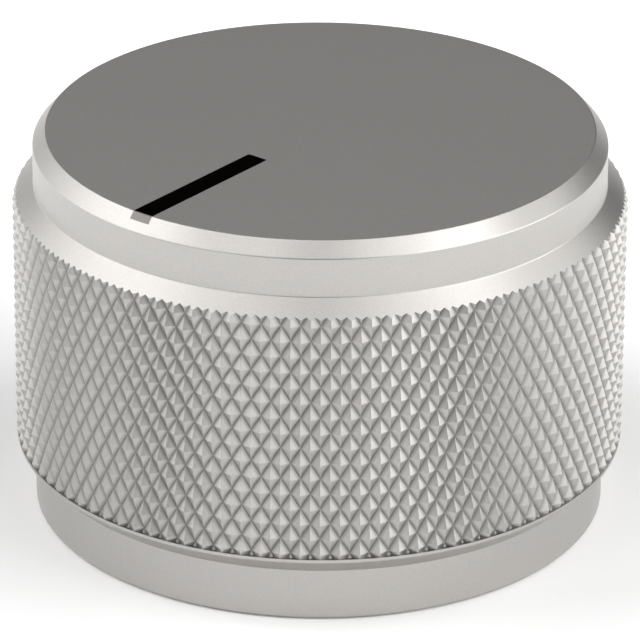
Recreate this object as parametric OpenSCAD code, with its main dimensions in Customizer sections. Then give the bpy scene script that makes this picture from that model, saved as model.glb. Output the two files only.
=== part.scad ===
// Knurled control knob turned from one bar of aluminium, with an enamel-filled
// pointer line and two hex-socket set screws that clamp it on a plain round shaft.
// Millimetres. The knob stands on its base ring at z = 0, its axis is Z, and the
// pointer line runs out along -Y, the front.

/* [Body] */
// Diameter over the points of the knurl
knurl_d = 38.1; // [37.2:0.1:44]
// Height of the whole knob
knob_h = 24.8; // [23.2:0.1:32]
// Diameter of the plain neck above the knurl
neck_d = 35.45; // [30:0.05:36]
// Diameter of the plain ring under the knurl
base_d = 35.7; // [34.5:0.05:36.5]
// Height of the plain ring
base_h = 3.35; // [2:0.05:4.2]
// Edge break round the foot of the ring, outside and inside
foot_break = 0.2; // [0.05:0.05:0.6]
// Width of the bevel on the top rim, along the radius
rim_w = 0.8; // [0.2:0.05:2]
// Height of the bevel on the top rim
rim_h = 0.9; // [0.2:0.05:1.4]

/* [Knurl] */
// Height of the lower edge of the knurled band
knurl_z = 4.45; // [4.4:0.05:5.4]
// Length of the knurled band, up to the foot of the shoulder cone
knurl_l = 15.85; // [10:0.05:16]
// Height of the plain lip along the lower edge of the band
lip_h = 0.2; // [0.1:0.05:0.4]
// How far the lip lies inside the points of the knurl
lip_inset = 0.08; // [0.02:0.02:0.2]
// Height of the cone that leads from the knurl up to the neck
shoulder_h = 1.15; // [0.4:0.05:1.5]
// Teeth round the band, one for each groove of one hand
teeth = 99; // [60:1:110]
// Height of one diamond, from corner to corner
diamond_h = 2.01; // [1.8:0.01:3]
// Height of the first row of points above the lower edge of the band
first_row = 0.5; // [0:0.05:0.9]
// Turn of the knurl round the axis, which sets where its points stand
knurl_turn = -0.41; // [-0.9:0.01:0.9]
// Depth of the grooves under the points
knurl_depth = 0.42; // [0.2:0.01:0.6]

/* [Shaft bore] */
// Diameter of the shaft that the knob fits
shaft_d = 6.35; // [4:0.05:8]
// Clearance of the bore over the shaft, on the diameter
shaft_clear = 0.05; // [0.02:0.01:0.2]
// Length of the bore, above the floor of the nut recess
bore_l = 13; // [10:0.5:14]
// Point angle of the drill that leaves the end of the bore
drill_angle = 118; // [110:2:140]
// Lead-in bevel at the mouth of the bore
lead_in = 0.3; // [0.1:0.05:0.8]
// Diameter of the recess that clears the panel nut and washer
recess_d = 20; // [16:0.5:26]
// Depth of that recess
recess_h = 4.5; // [4.2:0.1:5]

/* [Set screws] */
// Thread diameter of the set screws
screw_d = 3.5; // [3:0.1:4]
// Length of a set screw
screw_l = 8; // [5:0.5:10]
// Number of set screws, the first of them opposite the pointer line
screw_count = 2; // [1:1:2]
// Angle between the two screws
screw_spread = 90; // [60:5:120]
// Height of the screws' axes above the foot
screw_z = 9.5; // [8:0.1:12]
// Clearance round a screw in its hole
screw_clear = 0.05; // [0.02:0.01:0.1]
// Bevel at the mouth of a screw hole, below the grooves of the knurl
mouth_bevel = 0.3; // [0.1:0.05:0.6]
// Distance of a screw's tip from the wall of the bore, as supplied
tip_gap = 0.2; // [0.05:0.05:1]
// Width across the flats of the hex socket
hex_af = 1.6; // [1.3:0.1:2]
// Depth of the hex socket
hex_l = 1.7; // [1:0.1:2.5]
// Diameter of the cup point
cup_d = 1.8; // [1:0.1:2.5]
// Depth of the cup
cup_h = 0.5; // [0.2:0.1:0.8]
// Length of the bevels at the ends of a screw
screw_bevel = 0.4; // [0.2:0.05:0.5]

/* [Pointer line] */
// Width of the line
line_w = 1.43; // [0.8:0.01:3]
// Distance from the axis to the inner end of the line
line_start = 6.1; // [1:0.1:12]
// Depth of the engraved groove
line_depth = 0.4; // [0.1:0.05:0.8]
// Radius of the corners at the inner end
line_corner = 0.15; // [0.05:0.05:0.35]

/* [Hidden] */

$fn = 96;

// How far a cut runs on past the surface that it opens
overrun = 1;
// Direction of the pointer line, the front of the knob
front = -90;

// Radii and levels of the turned outline
knurl_r = knurl_d / 2;
neck_r = neck_d / 2;
base_r = base_d / 2;
lip_r = knurl_r - lip_inset;
rim_r = neck_r - rim_w;
lip_z = knurl_z + lip_h;
shoulder_z = knurl_z + knurl_l;
neck_z = shoulder_z + shoulder_h;

// The blank stands proud of the points all round, and the knurl trims it back;
// its shoulder cone runs on outwards at the same slope
blank_allowance = 0.3;
blank_r = knurl_r + blank_allowance;
blank_z = shoulder_z - shoulder_h * blank_allowance / (knurl_r - neck_r);

// Knurl lattice: points and groove crossings alternate like the squares of a
// chess board, half a tooth apart round the band and half a diamond up it.
// It starts a row below the band and ends above the foot of the neck.
columns = 2 * teeth;
row_h = diamond_h / 2;
groove_r = knurl_r - knurl_depth;
lattice_z = knurl_z + first_row - row_h;
rows = ceil((neck_z - lattice_z) / row_h);

// Shaft bore
bore_r = (shaft_d + shaft_clear) / 2;
bore_z = recess_h + bore_l;
drill_h = bore_r / tan(drill_angle / 2);
recess_r = recess_d / 2;

// Set screws
screw_r = screw_d / 2;
screw_hole_r = screw_r + screw_clear;
tip_r = bore_r + tip_gap;

// Outline of the ring, the bevel that widens from it, and the plain lip above.
module foot_outline() {
    polygon([
        [0, 0],
        [base_r - foot_break, 0],
        [base_r, foot_break],
        [base_r, base_h],
        [lip_r, knurl_z],
        [lip_r, lip_z],
        [0, lip_z]
    ]);
}

// Outline of the blank for the knurled band, with its shoulder, neck and rim. It
// starts inside the lip.
module band_outline() {
    band_z = (knurl_z + lip_z) / 2;
    polygon([
        [0, band_z],
        [blank_r, band_z],
        [blank_r, blank_z],
        [neck_r, neck_z],
        [neck_r, knob_h - rim_h],
        [rim_r, knob_h],
        [0, knob_h]
    ]);
}

// Nut recess, bore with its lead-in, and the cone that the drill's point leaves.
module bore_outline() {
    polygon([
        [0, -overrun],
        [recess_r + foot_break + overrun, -overrun],
        [recess_r, foot_break],
        [recess_r, recess_h],
        [bore_r + lead_in, recess_h],
        [bore_r, recess_h + lead_in],
        [bore_r, bore_z],
        [0, bore_z + drill_h]
    ]);
}

// One corner of the knurl lattice, column i round the band and row j up it, and
// its place in the list of points.
function lattice_point(i, j) =
    let (
        turn = i * 360 / columns + knurl_turn,
        r = (i + j) % 2 == 0 ? groove_r : knurl_r
    )
    [r * cos(turn), r * sin(turn), lattice_z + j * row_h];
function lattice_index(i, j) = j * columns + i % columns;

// The two facets of one lattice square. They meet along the bottom of a groove,
// and face inwards, because they bound the metal that the knurl pushes away.
function square_facets(i, j) =
    let (
        a = lattice_index(i, j),
        b = lattice_index(i + 1, j),
        c = lattice_index(i + 1, j + 1),
        d = lattice_index(i, j + 1)
    )
    (i + j) % 2 == 0 ? [[a, c, d], [a, b, c]] : [[a, b, d], [d, b, c]];

// What the knurl takes off the blank: a sleeve whose inner side is the knurled
// surface, where four flat facets rise to each point from the grooves round it.
module knurl_sleeve() {
    outside = columns * (rows + 1);
    sleeve_r = blank_r + overrun;
    knurled_points = [for (j = [0:rows], i = [0:columns - 1]) lattice_point(i, j)];
    outside_points = [
        for (j = [0, rows], i = [0:columns - 1])
            let (turn = i * 360 / columns + knurl_turn)
            [sleeve_r * cos(turn), sleeve_r * sin(turn), lattice_z + j * row_h]
    ];
    knurled_facets = [for (j = [0:rows - 1], i = [0:columns - 1]) each square_facets(i, j)];
    plain_facets = [
        for (i = [0:columns - 1])
            let (
                next = (i + 1) % columns,
                foot = outside + i,
                foot_next = outside + next,
                head = foot + columns,
                head_next = foot_next + columns
            )
            each [
                [foot, foot_next, next, i],
                [lattice_index(i, rows), lattice_index(next, rows), head_next, head],
                [foot, head, head_next, foot_next]
            ]
    ];
    polyhedron(concat(knurled_points, outside_points), concat(knurled_facets, plain_facets));
}

// Groove of the pointer line, from its inner end out past the rim.
module line_groove() {
    corner_x = line_start + line_corner;
    corner_y = line_w / 2 - line_corner;
    rotate(front)
        translate([0, 0, knob_h - line_depth])
        linear_extrude(line_depth + overrun) {
            translate([corner_x, -line_w / 2]) square([knurl_r, line_w]);
            translate([line_start, -corner_y]) square([knurl_r, 2 * corner_y]);
            for (side = [-1, 1])
                translate([corner_x, side * corner_y]) circle(line_corner);
        }
}

// Puts what is drawn along +X at each set screw's height and direction.
module at_screws() {
    for (k = [0:screw_count - 1])
        rotate(front + 180 + k * screw_spread)
            translate([0, 0, screw_z])
            rotate([0, 90, 0])
            children();
}

// Hole for a set screw, from the bore out through the knurl to its bevelled mouth.
module screw_hole() {
    mouth_r = screw_hole_r + mouth_bevel + knurl_depth + overrun;
    rotate_extrude() polygon([
        [0, 0],
        [screw_hole_r, 0],
        [screw_hole_r, groove_r - mouth_bevel],
        [mouth_r, knurl_r + overrun],
        [0, knurl_r + overrun]
    ]);
}

// The knob itself, one turned and knurled piece.
module knob_body() {
    color([0.62, 0.61, 0.59])
        difference() {
            union() {
                rotate_extrude() foot_outline();
                difference() {
                    rotate_extrude() band_outline();
                    knurl_sleeve();
                }
            }
            rotate_extrude() bore_outline();
            line_groove();
            at_screws() screw_hole();
        }
}

// One set screw: a cup point at the bottom and a hex socket at the top.
module set_screw() {
    difference() {
        rotate_extrude() polygon([
            [0, cup_h],
            [cup_d / 2, 0],
            [screw_r, screw_bevel],
            [screw_r, screw_l - screw_bevel],
            [screw_r - screw_bevel, screw_l],
            [0, screw_l]
        ]);
        translate([0, 0, screw_l - hex_l])
            cylinder(d = hex_af / cos(30), h = hex_l + overrun, $fn = 6);
    }
}

// The set screws, backed off until their tips clear the bore.
module set_screws() {
    color([0.16, 0.16, 0.17])
        at_screws()
        translate([0, 0, tip_r])
        set_screw();
}

// Black enamel that fills the pointer groove, flush with the top and the bevel.
module pointer_fill() {
    color([0.03, 0.03, 0.03])
        intersection() {
            line_groove();
            rotate_extrude() band_outline();
        }
}

knob_body();
set_screws();
pointer_fill();
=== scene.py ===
# %% [markdown]
# # A knurled knob, dressed for its picture
#
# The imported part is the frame: it says where every surface is. The knob is one bar
# of aluminium, turned, knurled, blasted and anodised, with a black line filled into
# its face and two set screws at its back. The sizes below repeat the part's own
# source, in millimetres, and MM turns them into Blender's metres.

import bpy
import numpy as np
from mathutils import Matrix, Vector


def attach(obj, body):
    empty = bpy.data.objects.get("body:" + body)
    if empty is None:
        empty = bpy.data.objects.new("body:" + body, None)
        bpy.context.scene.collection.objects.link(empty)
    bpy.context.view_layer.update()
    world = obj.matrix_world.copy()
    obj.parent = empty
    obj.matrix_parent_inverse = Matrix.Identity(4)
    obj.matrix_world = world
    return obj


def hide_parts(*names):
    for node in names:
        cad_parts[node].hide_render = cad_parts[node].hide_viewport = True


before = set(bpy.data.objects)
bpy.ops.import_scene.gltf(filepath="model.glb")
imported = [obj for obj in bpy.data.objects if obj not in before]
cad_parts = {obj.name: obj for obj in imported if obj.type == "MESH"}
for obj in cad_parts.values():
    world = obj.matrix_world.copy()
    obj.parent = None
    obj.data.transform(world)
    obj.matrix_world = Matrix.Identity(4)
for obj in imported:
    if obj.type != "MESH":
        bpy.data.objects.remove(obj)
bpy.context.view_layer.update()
MM = 0.001

# %% [markdown]
# ## The camera
#
# A long lens from about a third of a metre, 25 degrees above the bench, looks at the
# knob from the right of its front, so the pointer line runs towards the lower left.
# The long lens keeps the ellipses of the rims nearly alike from top to bottom. The
# turn about the vertical, the tilt and the small roll are applied one after the
# other, as on a tripod's head.

# %% Camera
CAMERA_PLACE = (0.193143, -0.243681, 0.158302)
CAMERA_TURN, CAMERA_TILT, CAMERA_ROLL = 38.395, 25.254, 0.3014
SENSOR_W, LENS = 36.0, 309.4255
NEAREST, FARTHEST = 0.01, 20.0
camera_data = bpy.data.cameras.new("camera")
camera_data.sensor_width, camera_data.lens = SENSOR_W, LENS
camera_data.clip_start, camera_data.clip_end = NEAREST, FARTHEST
camera = bpy.data.objects.new("camera", camera_data)
camera.matrix_world = (
    Matrix.Translation(CAMERA_PLACE)
    @ Matrix.Rotation(np.radians(CAMERA_TURN), 4, "Z")
    @ Matrix.Rotation(np.radians(90 - CAMERA_TILT), 4, "X")
    @ Matrix.Rotation(np.radians(CAMERA_ROLL), 4, "Z")
)
bpy.context.scene.collection.objects.link(camera)
bpy.context.scene.camera = camera
bpy.context.scene.view_settings.view_transform = "Standard"
print("camera at, mm:", [round(v / MM, 1) for v in camera.location])

# %% [markdown]
# ## Helpers for the material nodes
#
# A material here is a few noise patterns that move a colour, a roughness and a
# bump. It could be built by hand in the node editor, but in code each step stays
# readable: these helpers add a node, set its values and join it up in one line.

# %% Node helpers


def add_node(tree, kind, values=None, **settings):
    """Add a node of that kind, with its settings, and fill its input sockets by name."""
    node = tree.nodes.new(kind)
    for name, value in settings.items():
        setattr(node, name, value)
    for name, value in (values or {}).items():
        node.inputs[name].default_value = value
    return node


def noise(tree, where, size_mm, detail=2.0, roughness=0.5):
    """Even noise, 0 to 1, whose lumps are about size_mm across."""
    values = {"Scale": 1 / (size_mm * MM), "Detail": detail, "Roughness": roughness}
    node = add_node(tree, "ShaderNodeTexNoise", values)
    tree.links.new(where, node.inputs["Vector"])
    return node.outputs["Fac"]


def between(tree, value, low, high, start=0.3, end=0.7):
    """Carry value from start..end over to low..high, and hold it there outside."""
    values = {"From Min": start, "From Max": end, "To Min": low, "To Max": high}
    node = add_node(tree, "ShaderNodeMapRange", values)
    tree.links.new(value, node.inputs["Value"])
    return node.outputs["Result"]


def bump(tree, height, shader, strength, deep_mm):
    """Let a pattern tilt the shading as if it stood deep_mm high, times strength."""
    node = add_node(tree, "ShaderNodeBump", {"Strength": strength, "Distance": deep_mm * MM})
    tree.links.new(height, node.inputs["Height"])
    tree.links.new(node.outputs["Normal"], shader.inputs["Normal"])


def new_material(name):
    """A material with a plain Principled surface: its tree, its shader and its pattern place."""
    material = bpy.data.materials.new(name)
    material.use_nodes = True
    tree = material.node_tree
    shader = tree.nodes["Principled BSDF"]
    place = add_node(tree, "ShaderNodeTexCoord").outputs["Object"]
    return material, tree, shader, place


# %% [markdown]
# ## Mixing two colours
#
# One Mix node serves numbers, vectors and colours, and their sockets share names. So
# the sockets for colours are picked by their number.

# %% Mix two colours
MIX_FACTOR, MIX_FIRST, MIX_SECOND, MIXED = 0, 6, 7, 2


def blend_colours(tree, factor, first, second):
    """Mix two colours by factor. A colour is three numbers or another node's output."""
    node = add_node(tree, "ShaderNodeMix", data_type="RGBA")
    tree.links.new(factor, node.inputs[MIX_FACTOR])
    for number, value in ((MIX_FIRST, first), (MIX_SECOND, second)):
        if isinstance(value, bpy.types.NodeSocket):
            tree.links.new(value, node.inputs[number])
        else:
            node.inputs[number].default_value = (*value, 1.0)
    return node.outputs[MIXED]


# %% [markdown]
# ## Satin aluminium
#
# The bar is turned, then blasted with fine beads and clear anodised. The beads
# leave a grain of tiny dents, about a tenth of a millimetre across, so the metal
# mirrors its surroundings only softly. The anodised skin is a little warm and dull.
# The knurl's grooves are painted darker, a painted shade for the shade that falls
# deep in them. Pointiness or ambient occlusion could find them, but they depend on
# the render, so the mesh brings an attribute that says how high a place lies on the
# knurl: 0 at the full depth of the grooves and 1 on a point or on a turned surface.

# %% Satin aluminium
GRAIN_MM, SPECK_MM, CLOUD_MM = 0.12, 0.05, 6.0
SKIN_DARK, SKIN_LIGHT = (0.465, 0.452, 0.433), (0.515, 0.50, 0.48)
CLOUDED, CLOUD_SHARE = (0.445, 0.432, 0.413), 0.06
PAINTED_GROOVE_SHADE, PAINTED_SHADE_UP_TO, PAINTED_SHADE_ENDS = (0.29, 0.284, 0.275), 0.2, 0.5
aluminium, tree, shader, place = new_material("blasted_aluminium")
shader.inputs["Metallic"].default_value = 1.0
grain = noise(tree, place, GRAIN_MM, detail=3.0, roughness=0.6)
speck = noise(tree, place, SPECK_MM, detail=1.0)
cloud = noise(tree, place, CLOUD_MM)
relief = add_node(tree, "ShaderNodeAttribute", attribute_name="relief").outputs["Fac"]
tone = blend_colours(tree, between(tree, grain, 0, 1), SKIN_DARK, SKIN_LIGHT)
tone = blend_colours(tree, between(tree, cloud, 0, CLOUD_SHARE), tone, CLOUDED)
# Painted shade: the colour darkens deep in the knurl's grooves, by the relief attribute.
out_of_painted_shade = between(tree, relief, 0, 1, PAINTED_SHADE_UP_TO, PAINTED_SHADE_ENDS)
tone = blend_colours(tree, out_of_painted_shade, PAINTED_GROOVE_SHADE, tone)
tree.links.new(tone, shader.inputs["Base Color"])
tree.links.new(between(tree, speck, 0.37, 0.43), shader.inputs["Roughness"])
bump(tree, grain, shader, 0.15, 0.01)
print("aluminium:", len(tree.nodes), "nodes")

# %% [markdown]
# ## Black filler
#
# The line is filled with a matt black enamel and wiped level with the face. On the
# bevel at its outer end the wiping took most of it, and the rubbed metal shows
# through. That metal is painted far darker than the bare aluminium, a painted shade
# for the groove's end, which lies in shade. The two could be two pieces, but the
# filler is one, so the distance from the axis tells them apart within one material.

# %% Black filler
BEVEL_STARTS, WIPED_EDGE = 16.91, 0.05
BLACK, BLACK_LUMP = (0.001, 0.0008, 0.0005), (0.002, 0.0015, 0.001)
RUBBED_AND_SHADED, RUBBED_AND_SHADED_LUMP = (0.165, 0.16, 0.148), (0.225, 0.217, 0.2)
enamel, tree, shader, place = new_material("black_enamel")
lumps = noise(tree, place, 0.4)
sideways = add_node(tree, "ShaderNodeVectorMath", {1: (1, 1, 0)}, operation="MULTIPLY")
from_axis = add_node(tree, "ShaderNodeVectorMath", operation="LENGTH")
tree.links.new(place, sideways.inputs[0])
tree.links.new(sideways.outputs[0], from_axis.inputs[0])
inner_edge, outer_edge = (BEVEL_STARTS - WIPED_EDGE) * MM, (BEVEL_STARTS + WIPED_EDGE) * MM
wiped_and_shaded = between(tree, from_axis.outputs["Value"], 0, 1, inner_edge, outer_edge)
black = blend_colours(tree, lumps, BLACK, BLACK_LUMP)
# Painted shade: the rubbed metal on the bevel is far darker than the bare aluminium.
rubbed_and_shaded = blend_colours(tree, lumps, RUBBED_AND_SHADED, RUBBED_AND_SHADED_LUMP)
tree.links.new(blend_colours(tree, wiped_and_shaded, black, rubbed_and_shaded), shader.inputs["Base Color"])
tree.links.new(wiped_and_shaded, shader.inputs["Metallic"])
shader.inputs["Specular IOR Level"].default_value = 0.0
tree.links.new(between(tree, lumps, 0.42, 0.5), shader.inputs["Roughness"])
bump(tree, lumps, shader, 0.2, 0.01)
print("black enamel:", len(tree.nodes), "nodes")

# %% [markdown]
# ## Blackened steel
#
# The set screws are dipped in a blackening bath. The dark oxide is duller and
# browner where the steel's grain is open, which one fine noise is enough to show.

# %% Blackened steel
OXIDE_DARK, OXIDE_BROWN = (0.035, 0.034, 0.034), (0.075, 0.07, 0.066)
steel, tree, shader, place = new_material("blackened_steel")
shader.inputs["Metallic"].default_value = 1.0
oxide = noise(tree, place, 0.25, detail=3.0)
tone = blend_colours(tree, between(tree, oxide, 0, 1), OXIDE_DARK, OXIDE_BROWN)
tree.links.new(tone, shader.inputs["Base Color"])
tree.links.new(between(tree, oxide, 0.28, 0.46), shader.inputs["Roughness"])
bump(tree, oxide, shader, 0.2, 0.01)
print("blackened steel:", len(tree.nodes), "nodes")

# %% [markdown]
# ## Turned surfaces
#
# On a lathe, a shape is an outline carried round the axis. The outline is a list of
# corners, each with the size of its break, because no tool leaves a corner quite
# sharp. A Bevel modifier could break the corners, but it would also touch the knurl,
# so the outline itself is eased before it is carried round.

# %% Ease the corners of an outline


def eased(corners, breaks, steps=4):
    """An outline with eased corners. Round a corner C the curve runs from A on the leg
    behind to B on the leg ahead, each one break away from C, as
    (1-t)^2 A + 2t(1-t) C + t^2 B. One more point on each leg, a break further
    out, keeps the shading of the legs flat. The first and last corner stay as they are."""
    c, b = np.array(corners, float), np.array(breaks, float)[:, None]
    back, ahead = np.roll(c, 1, 0) - c, np.roll(c, -1, 0) - c
    back /= np.linalg.norm(back, axis=1, keepdims=True)
    ahead /= np.linalg.norm(ahead, axis=1, keepdims=True)
    t = np.linspace(0, 1, steps + 1)[None, :, None]
    start, corner, end = (c + b * back)[:, None], c[:, None], (c + b * ahead)[:, None]
    bend = (1 - t) ** 2 * start + 2 * t * (1 - t) * corner + t**2 * end
    line = np.concatenate([start + (b * back)[:, None], bend, end + (b * ahead)[:, None]], 1)
    line = np.concatenate([c[:1], line[1:-1].reshape(-1, 2), c[-1:]])
    gap = np.linalg.norm(np.diff(line, axis=0), axis=1)
    return line[np.append(True, gap > 1e-6)]


# %% [markdown]
# ## Rings into a mesh
#
# Rings of points along the outline, the same number in each, become a mesh with two
# triangles for every square between two rings. A fan of triangles closes each end on
# the axis, so the mesh is a solid that can be cut.

# %% Rings, bands and caps


def turned_rings(outline, turns):
    """Points of an outline carried round the axis: (r cos a, r sin a, z) for each
    outline point (r, z) and each turn a, in radians."""
    r, z = outline[:, :1], outline[:, 1:]
    return np.stack([r * np.cos(turns), r * np.sin(turns), z + 0 * turns], -1)


def closed_bands(rings, columns):
    """Triangles between neighbouring rings of a closed grid whose points are numbered
    ring by ring. Squares split from their lower left to their upper right corner."""
    r, c = np.mgrid[0 : rings - 1, 0:columns]
    a, b = r * columns + c, r * columns + (c + 1) % columns
    d, e = a + columns, b + columns
    return np.stack([np.stack([a, b, e], -1), np.stack([a, e, d], -1)], 2).reshape(-1, 3)


def cap(pole, first, columns, above):
    """Triangles from a point on the axis to a ring, facing along the outline's left."""
    c = np.arange(columns)
    a, b = first + c, first + (c + 1) % columns
    return np.stack([a, b, 0 * c + pole] if above else [b, a, 0 * c + pole], -1)


def capped(rings, columns):
    """Triangles of a whole solid: a cap, the bands, and a cap. The two points on the
    axis are numbered after the rings."""
    n = rings * columns
    ends = cap(n, 0, columns, False), cap(n + 1, n - columns, columns, True)
    return np.concatenate([ends[0], closed_bands(rings, columns), ends[1]])


# %% [markdown]
# ## The blank
#
# The lathe leaves the whole outline but the knurl. The outline starts at the end of
# the shaft's bore and runs down through the nut recess, round the foot, out over the
# bevel under the band, up the shoulder and neck, and over the bevelled rim to the
# axis. Where the knurl comes, the blank stands a little proud. A narrow lip along the
# band's lower edge stays plain, because the wheels stop just above it.

# %% The blank's sizes, in millimetres
KNURL_R, NECK_R, BASE_R, LIP_R = 19.05, 17.725, 17.85, 18.97
KNOB_H, RIM_W, RIM_H = 24.8, 0.8, 0.9
BASE_H, KNURL_Z, LIP_Z, SHOULDER_Z, NECK_Z = 3.35, 4.45, 4.65, 20.3, 21.45
FOOT_BREAK = 0.2
BORE_R, BORE_Z, DRILL_H, LEAD_IN = 3.2, 17.5, 1.923, 0.3
RECESS_R, RECESS_H = 10.0, 4.5
BLANK_R = KNURL_R + 0.3
SHOULDER_SLOPE = (KNURL_R - NECK_R) / (NECK_Z - SHOULDER_Z)
BLANK_Z = SHOULDER_Z - (BLANK_R - KNURL_R) / SHOULDER_SLOPE
FACE_RINGS = 6.0, 2.0
heights = BASE_H, SHOULDER_Z - KNURL_Z, KNOB_H - NECK_Z
print("heights of the ring, band and neck, mm:", [round(h, 2) for h in heights])

# %% [markdown]
# ## The blank's mesh
#
# Each row below is a corner's radius, its height and the size of its break. The lip's
# edge and the blank's lower edge stay sharp, because the knurl is cut there. The blank
# has two columns for each tooth, so its edges meet the knurl's points.

# %% The blank's mesh
TEETH, KNURL_TURN = 99, -0.41
COLUMNS = 2 * TEETH
blank_corners = np.array(
    [
        (BORE_R, BORE_Z, 0),
        (BORE_R, RECESS_H + LEAD_IN, 0.03),
        (BORE_R + LEAD_IN, RECESS_H, 0.03),
        (RECESS_R, RECESS_H, 0.08),
        (RECESS_R, FOOT_BREAK, 0.04),
        (RECESS_R + FOOT_BREAK, 0, 0.04),
        (BASE_R - FOOT_BREAK, 0, 0.04),
        (BASE_R, FOOT_BREAK, 0.04),
        (BASE_R, BASE_H, 0.04),
        (LIP_R, KNURL_Z, 0.03),
        (LIP_R, LIP_Z, 0),
        (BLANK_R, LIP_Z, 0),
        (BLANK_R, BLANK_Z, 0.02),
        (NECK_R, NECK_Z, 0.06),
        (NECK_R, KNOB_H - RIM_H, 0.05),
        (NECK_R - RIM_W, KNOB_H, 0.05),
        (FACE_RINGS[0], KNOB_H, 0),
        (FACE_RINGS[1], KNOB_H, 0),
    ]
)
blank_outline = eased(blank_corners[:, :2], blank_corners[:, 2])
turns = np.radians(np.arange(COLUMNS) * 360 / COLUMNS + KNURL_TURN)
blank_rings = turned_rings(blank_outline, turns).reshape(-1, 3)
blank_points = np.concatenate([blank_rings, [[0, 0, BORE_Z + DRILL_H], [0, 0, KNOB_H]]])
blank_triangles = capped(len(blank_outline), COLUMNS)
print("blank:", len(blank_outline), "rings,", len(blank_triangles), "triangles")

# %% [markdown]
# ## The diamond knurl
#
# Two sets of grooves, one of each hand, cross and leave four-sided points. Seen flat,
# points and groove crossings alternate like the squares of a chess board, half a
# tooth apart round the band and half a diamond up it. A square of that board holds
# two facets, which meet along a groove from crossing to crossing. Each facet leans
# on one point, and its other two corners are crossings.
#
# The two hands could be cut as helical grooves one by one, but 198 cuts leave slivers
# where they cross, so the surface is worked out as one grid. The wheels press the
# metal rather than cut it, and it folds up a little in the bottom of each groove, so
# the grooves end at about four fifths of their full depth. A facet falls almost
# straight from its point to its groove.

# %% The knurl's lattice
DIAMOND_H, KNURL_DEPTH, FIRST_ROW = 2.01, 0.42, 0.5
ROW_H = DIAMOND_H / 2
LATTICE_Z = KNURL_Z + FIRST_ROW - ROW_H
ROWS = int(np.ceil((NECK_Z - LATTICE_Z) / ROW_H))


def knurl_place(u, v, height):
    """Points in millimetres at u half teeth round and v half diamonds up. The height is
    1 at the points' level and 0 at the grooves' full depth, KNURL_DEPTH below it."""
    turn = np.radians(u * 360 / COLUMNS + KNURL_TURN)
    r = KNURL_R - KNURL_DEPTH * (1 - height)
    return np.stack([r * np.cos(turn), r * np.sin(turn), LATTICE_Z + ROW_H * v], -1)


print("rows of points in the band:", round((SHOULDER_Z - KNURL_Z) / ROW_H, 1))

# %% [markdown]
# ## Points of the knurled surface
#
# FALL is how far a place is on its way down a facet, 0 at the point and 1 in the
# groove, and HEIGHT is its height there. Between the two each facet has a waist, a row
# of points a little inside its ridges and a little above them, which rounds the
# ridges. A little seeded wear, different at each point, keeps the band from looking
# stamped out of one mould.

# %% Points of the knurled surface
FALL, HEIGHT = (0, 0.8, 1), (1.0, 0.34, 0.18)
WAIST, WAIST_H, BOTTOM_H = FALL[1], HEIGHT[1], HEIGHT[2]
RIDGE_EASE, DEEPEST_WEAR, SEED = 0.04, 0.05, 99
rng = np.random.default_rng(SEED)
point_wear = DEEPEST_WEAR * rng.random((ROWS + 1, COLUMNS)) ** 2
# A square's corners as [column, row]: crossings left and right, points below and above
j, i = np.mgrid[0:ROWS, 0:COLUMNS]
rising = (i + j) % 2 == 0
left = np.stack([i + 0 * j, j + np.where(rising, 0, 1)], -1)
right = np.stack([i + 1, j + np.where(rising, 1, 0)], -1)
lower = np.stack([i + np.where(rising, 1, 0), j + 0 * i], -1)
upper = np.stack([i + np.where(rising, 0, 1), j + 1], -1)


def ridge_places():
    """The lattice's own points, and one at the waist of each ridge, which falls from a
    point to a crossing: level ridges run round the band and upright ones up it. The
    ridge's waist is as high as the facet half an ease further down."""
    j, i = np.mgrid[0 : ROWS + 1, 0:COLUMNS]
    is_point = (i + j) % 2 == 1
    along = np.where(is_point, WAIST, 1 - WAIST)
    ridge_h = np.interp(WAIST + RIDGE_EASE / 2, FALL, HEIGHT)
    corner = knurl_place(i, j, np.where(is_point, HEIGHT[0] - point_wear, BOTTOM_H))
    level, upright = knurl_place(i + along, j, ridge_h), knurl_place(i, j + along, ridge_h)
    return [corner, level, upright[:ROWS]]


def facet_places():
    """Points within the squares. A groove keeps two, a little inside its crossings N and
    F, at N + e (F - N). A facet of the point P keeps two at its waist, a little inside
    its ridges, at P + (w - e)(N - P) + e (F - P), with e the ease and w the waist."""
    sides = (left, right), (right, left)
    spots = [(near + RIDGE_EASE * (far - near), BOTTOM_H) for near, far in sides]
    for tip in (lower, upper):
        for near, far in sides:
            spot = tip + (WAIST - RIDGE_EASE) * (near - tip) + RIDGE_EASE * (far - tip)
            spots.append((spot, WAIST_H))
    return [knurl_place(spot[..., 0], spot[..., 1], height) for spot, height in spots]


knurl_places = ridge_places() + facet_places()
print("points of the knurled surface:", sum(place[..., 0].size for place in knurl_places))

# %% [markdown]
# ## The sleeve
#
# Everything that the wheels push away is one sleeve round the blank, and the blank
# loses it. Its inner side is the knurled surface, facing the axis. Plain bands at the
# foot, the head and the outside close it.

# %% Triangles of the knurled surface


def at(corner, spot):
    """Numbers of the lattice points at [column, row]. The last column meets the first."""
    return corner[spot[..., 1], spot[..., 0] % COLUMNS]


def facet_triangles(tip, waist, groove):
    """Nine triangles a facet: three from its tip to the four points of its waist, and six
    from there to the four points of its groove."""
    faces = [(tip, waist[m], waist[m + 1]) for m in range(3)]
    for m in range(3):
        faces += [(waist[m], groove[m], groove[m + 1]), (waist[m], groove[m + 1], waist[m + 1])]
    return np.stack([np.stack(face, -1) for face in faces], 2).reshape(-1, 3)


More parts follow.
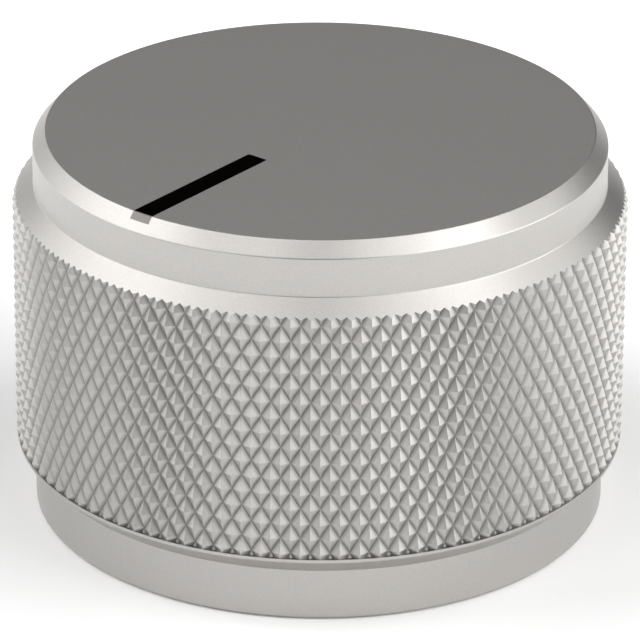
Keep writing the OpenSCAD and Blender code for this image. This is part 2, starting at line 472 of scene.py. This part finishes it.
def knurled_triangles(corner, level, upright, *inner):
    """Triangles of all the lower facets, then of all the upper ones. The arguments are
    the numbers of the points: the lattice's, the waists' on both kinds of ridge, and the
    three pairs within the squares, on the groove, the lower and the upper facet."""
    groove, lower_pair, upper_pair = inner[:2], inner[2:4], inner[4:]
    bottom = at(corner, left), *groove, at(corner, right)
    side_left, side_right = upright, np.roll(upright, -1, 1)
    level_below, level_above = level[:-1], level[1:]
    waist_below = (
        np.where(rising, level_below, side_left),
        *lower_pair,
        np.where(rising, side_right, level_below),
    )
    waist_above = (
        np.where(rising, side_left, level_above),
        *upper_pair,
        np.where(rising, level_above, side_right),
    )
    below = facet_triangles(at(corner, lower), waist_below, bottom)
    above = facet_triangles(at(corner, upper), waist_above, bottom)
    return [below, above[:, ::-1]]


# %% [markdown]
# ## The sleeve's plain sides
#
# The first and last row of the knurled surface are zigzags of lattice points and
# waists, with as many points as a plain ring outside, so a band of triangles joins
# each to its ring. The rings lie a millimetre outside the blank, clear of its metal.

# %% The whole sleeve


def ring_band(a, b):
    """Triangles between two rings of as many points, given by their numbers."""
    a2, b2 = np.roll(a, -1), np.roll(b, -1)
    return [np.stack([a, b2, a2], -1), np.stack([a, b, b2], -1)]


def knurl_sleeve():
    """Points and triangles of the sleeve."""
    starts = np.cumsum([0] + [place[..., 0].size for place in knurl_places])
    numbers = [
        start + np.arange(place[..., 0].size).reshape(place.shape[:2])
        for start, place in zip(starts, knurl_places)
    ]
    corner, level = numbers[:2]
    zigzags = [np.column_stack([corner[row], level[row]]).ravel() for row in (0, -1)]
    around = 2 * COLUMNS
    turn = np.radians(np.arange(around) * 360 / around + KNURL_TURN)
    sleeve_r = BLANK_R + 1
    ends = np.array([[sleeve_r, LATTICE_Z], [sleeve_r, LATTICE_Z + ROWS * ROW_H]])
    foot, head = starts[-1] + np.arange(2 * around).reshape(2, -1)
    triangles = knurled_triangles(*numbers)
    for a, b in ((foot, zigzags[0]), (zigzags[1], head), (head, foot)):
        triangles += ring_band(a, b)
    places = [*knurl_places, turned_rings(ends, turn)]
    return np.concatenate([p.reshape(-1, 3) for p in places]), np.concatenate(triangles)


sleeve_points, sleeve_triangles = knurl_sleeve()
print("knurl sleeve:", len(sleeve_points), "points,", len(sleeve_triangles), "triangles")

# %% [markdown]
# ## From arrays to objects
#
# foreach_set copies whole arrays into a mesh, which is much quicker than adding
# vertices one by one. Each object stays at the origin, with its place in its mesh, so
# that a pattern on Object coordinates lies still on it.

# %% Put a mesh into the scene


def new_piece(name, points_mm, triangles, material):
    """An object at the origin whose mesh holds these points, in millimetres, and triangles."""
    mesh = bpy.data.meshes.new(name)
    mesh.vertices.add(len(points_mm))
    mesh.vertices.foreach_set("co", (np.asarray(points_mm) * MM).astype(np.float32).ravel())
    mesh.loops.add(3 * len(triangles))
    mesh.loops.foreach_set("vertex_index", np.asarray(triangles, np.int32).ravel())
    mesh.polygons.add(len(triangles))
    mesh.polygons.foreach_set("loop_start", 3 * np.arange(len(triangles), dtype=np.int32))
    mesh.update(calc_edges=True)
    mesh.materials.append(material)
    piece = bpy.data.objects.new(name, mesh)
    bpy.context.scene.collection.objects.link(piece)
    return piece


def note_relief(piece, values):
    """Keep one value a point on the corners of a mesh, as the attribute relief."""
    corners = np.empty(len(piece.data.loops), np.int32)
    piece.data.loops.foreach_get("vertex_index", corners)
    relief = piece.data.attributes.new("relief", "FLOAT", "CORNER")
    relief.data.foreach_set("value", values[corners].astype(np.float32))


body = new_piece("knob_body_detailed", blank_points, blank_triangles, aluminium)
note_relief(body, np.ones(len(blank_points)))
sleeve = new_piece("knurl_sleeve", sleeve_points, sleeve_triangles, aluminium)
above_groove = np.hypot(sleeve_points[:, 0], sleeve_points[:, 1]) - KNURL_R + KNURL_DEPTH
note_relief(sleeve, np.clip(above_groove / KNURL_DEPTH, 0, 1))
print("relief of the sleeve, lowest:", round(float(above_groove.min() / KNURL_DEPTH), 2))

# %% [markdown]
# ## Cutting, shading and cutters
#
# A Boolean modifier takes one solid out of another. The Manifold solver is exact
# enough for closed meshes, quick, and it carries the relief attribute over to the cut
# faces. Shading is smooth across the small steps of a turned curve and hard across
# the knurl's edges. A cutter with straight sides is an outline carried straight up.

# %% Cut, shade and make a cutter


def cut(piece, cutters):
    """Take each cutter's solid out of the piece, apply it, and delete the cutter."""
    for cutter in cutters:
        step = piece.modifiers.new("cut", "BOOLEAN")
        step.operation, step.solver, step.object = "DIFFERENCE", "MANIFOLD", cutter
    graph = bpy.context.evaluated_depsgraph_get()
    piece.data = bpy.data.meshes.new_from_object(piece.evaluated_get(graph))
    piece.modifiers.clear()
    for cutter in cutters:
        bpy.data.objects.remove(cutter)


def shade(piece, sharp_from):
    """Smooth shading, except across edges that bend by more than sharp_from degrees."""
    piece.data.polygons.foreach_set("use_smooth", np.ones(len(piece.data.polygons), bool))
    piece.data.set_sharp_from_angle(angle=np.radians(sharp_from))


def prism(outline, low, high):
    """Points and triangles of a flat convex outline carried straight up."""
    n = len(outline)
    ends = [np.column_stack([outline, np.full(n, z)]) for z in (low, high)]
    centres = [[*outline.mean(0), low], [*outline.mean(0), high]]
    return np.concatenate([*ends, centres]), capped(2, n)


# %% [markdown]
# ## The line's groove
#
# The groove for the line is milled with a small end mill, so its inner end has
# rounded corners. It runs out past the rim. Its cutter is the milled outline carried
# up from the groove's floor.

# %% The line's cutter
LINE_W, LINE_START, LINE_DEPTH, LINE_CORNER = 1.43, 6.1, 0.4, 0.15
OVERRUN = 1


def line_cutter():
    """The line's groove from its inner end out past the rim, along -Y. Its corners are
    quarter circles of seven points."""
    angle = np.radians(np.linspace(0, 90, 7))
    corner = LINE_CORNER * np.stack([np.cos(angle), np.sin(angle)], -1)
    half, inner = LINE_W / 2 - LINE_CORNER, -(LINE_START + LINE_CORNER)
    right, left = corner + [half, inner], corner[::-1] * [-1, 1] + [-half, inner]
    past = -KNURL_R - OVERRUN
    ends = np.array([[-LINE_W / 2, past], [LINE_W / 2, past]])
    outline = np.concatenate([right, left, ends])
    solid = prism(outline, KNOB_H - LINE_DEPTH, KNOB_H + OVERRUN)
    return new_piece("line_cutter", *solid, aluminium)


# %% [markdown]
# ## The tapped holes
#
# The holes for the set screws are drilled and tapped. A thread is a radius that rises
# and falls once a pitch along the axis, and the wave moves on by one pitch a turn.
# The screw hides the inner part of its hole, so the thread is drawn only from just
# below the screw's head out to the mouth.

# %% The holes' cutter
SCREW_R, SCREW_L, SCREW_Z, TIP_R = 1.75, 8.0, 9.5, 3.4
SCREW_CLEAR, MOUTH_BEVEL = 0.05, 0.3
THREAD_PITCH, THREAD_DEPTH = 0.6, 0.3
HOLE_STARTS, TAPPED_FROM, FIRST_THREAD_RING = 1.0, 10.9, 11.0
HOLE_SIDES, HOLE_RINGS_A_PITCH = 24, 6
BEVEL_STEP, BEVEL_LAP, TINY = 0.001, 0.02, 1e-6


def thread_radius(turn, along, start, end, radius):
    """Radius of a thread: the full radius at the crests, less the thread's depth at the
    roots, as a triangle wave of (along / pitch - turn). It fades out over one pitch
    at each end."""
    phase = (along / THREAD_PITCH - turn / (2 * np.pi)) % 1
    wave = 1 - np.abs(2 * phase - 1)
    fade = np.clip(np.minimum(along - start, end - along) / THREAD_PITCH, 0, 1)
    return radius - THREAD_DEPTH * (1 - wave * fade)


def threaded_solid(radius, along, turns, poles):
    """Rings of the given radii, one row for each place along the Z axis, closed by
    a fan from a pole at each end."""
    rings = [radius * np.cos(turns), radius * np.sin(turns), along[:, None] + 0 * turns]
    points = np.stack(rings, -1).reshape(-1, 3)
    points = np.concatenate([points, [[0, 0, poles[0]], [0, 0, poles[1]]]])
    return points, capped(len(along), len(turns))


def outwards(points, k):
    """Turn what is drawn up the Z axis to stand on the k-th screw's axis."""
    turn = np.radians(90 + 90 * k)
    x, y, z = points[:, 0], points[:, 1], points[:, 2]
    out = np.stack([z * np.cos(turn) - y * np.sin(turn), z * np.sin(turn) + y * np.cos(turn)], -1)
    return np.column_stack([out, SCREW_Z - x])


def hole_cutter(k):
    """A tapped hole from the bore out to its mouth, which widens at 45 degrees."""
    hole_r = SCREW_R + SCREW_CLEAR
    mouth, end = KNURL_R - KNURL_DEPTH - MOUTH_BEVEL, KNURL_R + OVERRUN
    tapped = np.arange(FIRST_THREAD_RING, mouth + TINY, THREAD_PITCH / HOLE_RINGS_A_PITCH)
    ends = [HOLE_STARTS, TAPPED_FROM], [mouth + BEVEL_STEP, end]
    along = np.concatenate([ends[0], tapped, ends[1]])
    turns = np.linspace(0, 2 * np.pi, HOLE_SIDES, endpoint=False)
    radius = thread_radius(turns, along[:, None], TAPPED_FROM, mouth, hole_r)
    radius[:2] = hole_r
    radius[-2:] = [[hole_r - BEVEL_LAP], [hole_r + end - mouth]]
    points, triangles = threaded_solid(radius, along, turns, (along[0], end))
    return new_piece("hole_cutter", outwards(points, k), triangles, aluminium)


print("thread in a hole, mm:", round(KNURL_R - KNURL_DEPTH - MOUTH_BEVEL - TAPPED_FROM, 2))

# %% [markdown]
# ## Cut the knob
#
# The sleeve first loses all that lies below the lip's edge, so that the wheels stop
# there. Then the blank loses the sleeve, the line's groove and the two holes. Facets
# of the knurl bend by far more than 12 degrees at their edges, and a turned curve by
# less, so that angle keeps each as it should be.

# %% Cut the knob and hand it over
KNOB_SHARP_FROM = 12
below_lip = np.stack([np.cos(turns), np.sin(turns)], -1) * (BLANK_R + 2)
cut(sleeve, [new_piece("below_lip", *prism(below_lip, 0, LIP_Z), aluminium)])
cut(body, [sleeve, line_cutter(), hole_cutter(0), hole_cutter(1)])
shade(body, KNOB_SHARP_FROM)
print("attributes:", body.data.attributes.keys())
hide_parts("knob_body")
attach(body, "root")
body.data.calc_loop_triangles()
print("knob triangles:", len(body.data.loop_triangles))

# %% [markdown]
# ## Set screws
#
# Two cup-point screws, each with a hex socket. The thread is rolled, so it fades out
# at both bevelled ends. The screws are one piece, because they are alike.

# %% Shapes of a set screw
SCREW_BEVEL, HEX_AF, HEX_L, CUP_R, CUP_H = 0.4, 1.6, 1.7, 0.9, 0.5
SOCKET_CONE, SCREW_SIDES, SCREW_RINGS_A_PITCH = 0.3, 48, 8


def screw_points():
    """A threaded rod with a bevel and a flat at each end, drawn up the Z axis."""
    turns = np.linspace(0, 2 * np.pi, SCREW_SIDES, endpoint=False)
    last = SCREW_L - SCREW_BEVEL + TINY
    along = np.arange(SCREW_BEVEL, last, THREAD_PITCH / SCREW_RINGS_A_PITCH)
    radius = thread_radius(turns, along[:, None], 0, SCREW_L, SCREW_R)
    ends = np.array([[CUP_R, 0], [SCREW_R - SCREW_BEVEL, SCREW_L]])
    rows = np.concatenate([ends[:1, 1], along, ends[1:, 1]])
    radius = np.concatenate([0 * turns[None] + ends[0, 0], radius, 0 * turns[None] + ends[1, 0]])
    return threaded_solid(radius, rows, turns, (CUP_H, SCREW_L))


def socket_cutter(k):
    """A hexagon down to the socket's floor, ending in the cone of its pilot drill."""
    angle = np.radians(np.arange(0, 360, 60))
    hexagon = HEX_AF / 2 / np.cos(np.pi / 6) * np.stack([np.cos(angle), np.sin(angle)], -1)
    points, triangles = prism(hexagon, SCREW_L - HEX_L, SCREW_L + OVERRUN)
    floor_centre = 2 * len(hexagon)
    points[floor_centre] = [0, 0, SCREW_L - HEX_L - SOCKET_CONE]
    return new_piece("socket_cutter", outwards(points + [0, 0, TIP_R], k), triangles, steel)


# %% [markdown]
# ## Both screws in their holes
#
# One screw stands opposite the line and the other a quarter turn on, each backed off
# until its tip clears the bore. Their triangles are the same, numbered on from one
# screw to the next.

# %% Set screws
SCREW_SHARP_FROM = 32
points, triangles = screw_points()
both_points = np.concatenate([outwards(points + [0, 0, TIP_R], k) for k in (0, 1)])
both_triangles = np.concatenate([triangles, triangles + len(points)])
screws = new_piece("set_screws_threaded", both_points, both_triangles, steel)
cut(screws, [socket_cutter(0), socket_cutter(1)])
shade(screws, SCREW_SHARP_FROM)
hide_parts("set_screws")
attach(screws, "root")
print("set screws:", len(screws.data.polygons), "faces")

# %% [markdown]
# ## The pointer line
#
# The solid's own shape is right, flush with the face and the bevel, so it stays and
# takes the enamel.

# %% The pointer line
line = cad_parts["pointer_fill"]
line.data.materials.clear()
line.data.materials.append(enamel)
print("pointer line:", len(line.data.polygons), "faces")

# %% [markdown]
# ## The floor
#
# A plain white sheet. To the camera and in the metal's soft mirror it glows a little,
# so that it looks white beyond the lamps' reach. The glow is weaker close to the knob,
# which keeps the knob's shadow, and this fading is a painted shade round the knob's
# foot: it keeps the ring and the neck from mirroring the floor too brightly. For all
# other light the sheet is a plain dull white.

# %% Floor
FLOOR_R, FLOOR_Z, FLOOR_SIDES = 4, -0.00002, 64
WHITE = (0.85, 0.85, 0.85, 1)
SHADED_NEAR_GLOW, FAR_GLOW, GLOW_FROM, GLOW_FULL = 0.1, 0.35, 25 * MM, 60 * MM
around = np.linspace(0, 2 * np.pi, FLOOR_SIDES + 1)[:-1]
disc = np.stack([FLOOR_R * np.cos(around), FLOOR_R * np.sin(around), 0 * around + FLOOR_Z], -1)
floor_mesh = bpy.data.meshes.new("floor")
floor_mesh.from_pydata(disc, [], [list(range(FLOOR_SIDES))])
floor = bpy.data.objects.new("floor", floor_mesh)
bpy.context.scene.collection.objects.link(floor)
sheet, tree, shader, place = new_material("white_sheet")
floor_mesh.materials.append(sheet)
shader.inputs["Base Color"].default_value = WHITE
shader.inputs["Roughness"].default_value = 0.9
shader.inputs["Specular IOR Level"].default_value = 0.0
shader.inputs["Emission Color"].default_value = (1, 1, 1, 1)
path = add_node(tree, "ShaderNodeLightPath")
seen = path.outputs["Is Camera Ray"]
for kind in ("Is Glossy Ray", "Is Transmission Ray"):
    either = add_node(tree, "ShaderNodeMath", operation="MAXIMUM")
    tree.links.new(seen, either.inputs[0])
    tree.links.new(path.outputs[kind], either.inputs[1])
    seen = either.outputs[0]
distance = add_node(tree, "ShaderNodeVectorMath", operation="LENGTH")
tree.links.new(place, distance.inputs[0])
# Painted shade: the floor's glow fades towards the knob, for the camera and in the metal's
# mirror.
glow_with_painted_shade = between(tree, distance.outputs["Value"], SHADED_NEAR_GLOW, FAR_GLOW, GLOW_FROM, GLOW_FULL)
strength = add_node(tree, "ShaderNodeMath", operation="MULTIPLY")
tree.links.new(seen, strength.inputs[0])
tree.links.new(glow_with_painted_shade, strength.inputs[1])
tree.links.new(strength.outputs[0], shader.inputs["Emission Strength"])
print("floor:", len(tree.nodes), "nodes")

# %% [markdown]
# ## The light
#
# Satin metal shows what stands round it, so the light is a ring of plain soft boxes
# at three heights, like the panels of a light tent, and nothing else. The panels on
# the camera's right are the brightest, then those on its left: they light the bevel
# and the shoulder on both sides, and the sides of the knurl's points. Behind the knob
# they are few and weak, so the flat face stays a plain mid grey.

# %% Lamps
LOOK_AT, LAMP_DISTANCE = Vector((0, 0, 0.012)), 0.8
HALF_TALL, HALF_WIDE, HALF_WIDE_HIGH = 12, 15, 10.6
# Height above the bench, then turns anticlockwise from the camera's right hand with
# the brightness of the panel there
SOFT_BOXES = {
    12: {0: 3.93, 150: 1.19, 180: 2.45, 240: 1.03, 300: 1.57, 120: 0.60, 330: 1.34},
    36: {30: 1.70, 90: 0.73, 150: 1.72, 180: 2.06, 210: 1.91, 330: 4.82},
    60: {0: 3.43, 180: 2.87, 240: 2.67, 300: 2.52},
}


def soft_box(turn, height, brightness):
    """A flat lamp that faces the knob, 30 degrees wide and 24 tall as the knob sees it, or
    narrower high up, where the ring is smaller. Its power is brightness x pi x area."""
    half_wide = HALF_WIDE if height < max(SOFT_BOXES) else HALF_WIDE_HIGH
    wide, tall = 2 * LAMP_DISTANCE * np.tan(np.radians([half_wide, HALF_TALL]))
    data = bpy.data.lights.new(f"soft_box_{turn}_{height}", "AREA")
    data.shape, data.size, data.size_y = "RECTANGLE", wide, tall
    data.energy = brightness * np.pi * wide * tall
    lamp = bpy.data.objects.new(data.name, data)
    a, e = np.radians(turn + CAMERA_TURN), np.radians(height)
    out = Vector((np.cos(e) * np.cos(a), np.cos(e) * np.sin(a), np.sin(e)))
    facing = out.to_track_quat("Z", "Y").to_matrix().to_4x4()
    lamp.matrix_world = Matrix.Translation(LOOK_AT + LAMP_DISTANCE * out) @ facing
    lamp.visible_camera = False
    bpy.context.scene.collection.objects.link(lamp)


for height, ring in SOFT_BOXES.items():
    for turn, brightness in ring.items():
        soft_box(turn, height, brightness)
world = bpy.data.worlds.new("studio")
bpy.context.scene.world = world
world.use_nodes = True
world.node_tree.nodes["Background"].inputs["Color"].default_value = (0, 0, 0, 1)
print("soft boxes:", sum(len(ring) for ring in SOFT_BOXES.values()))
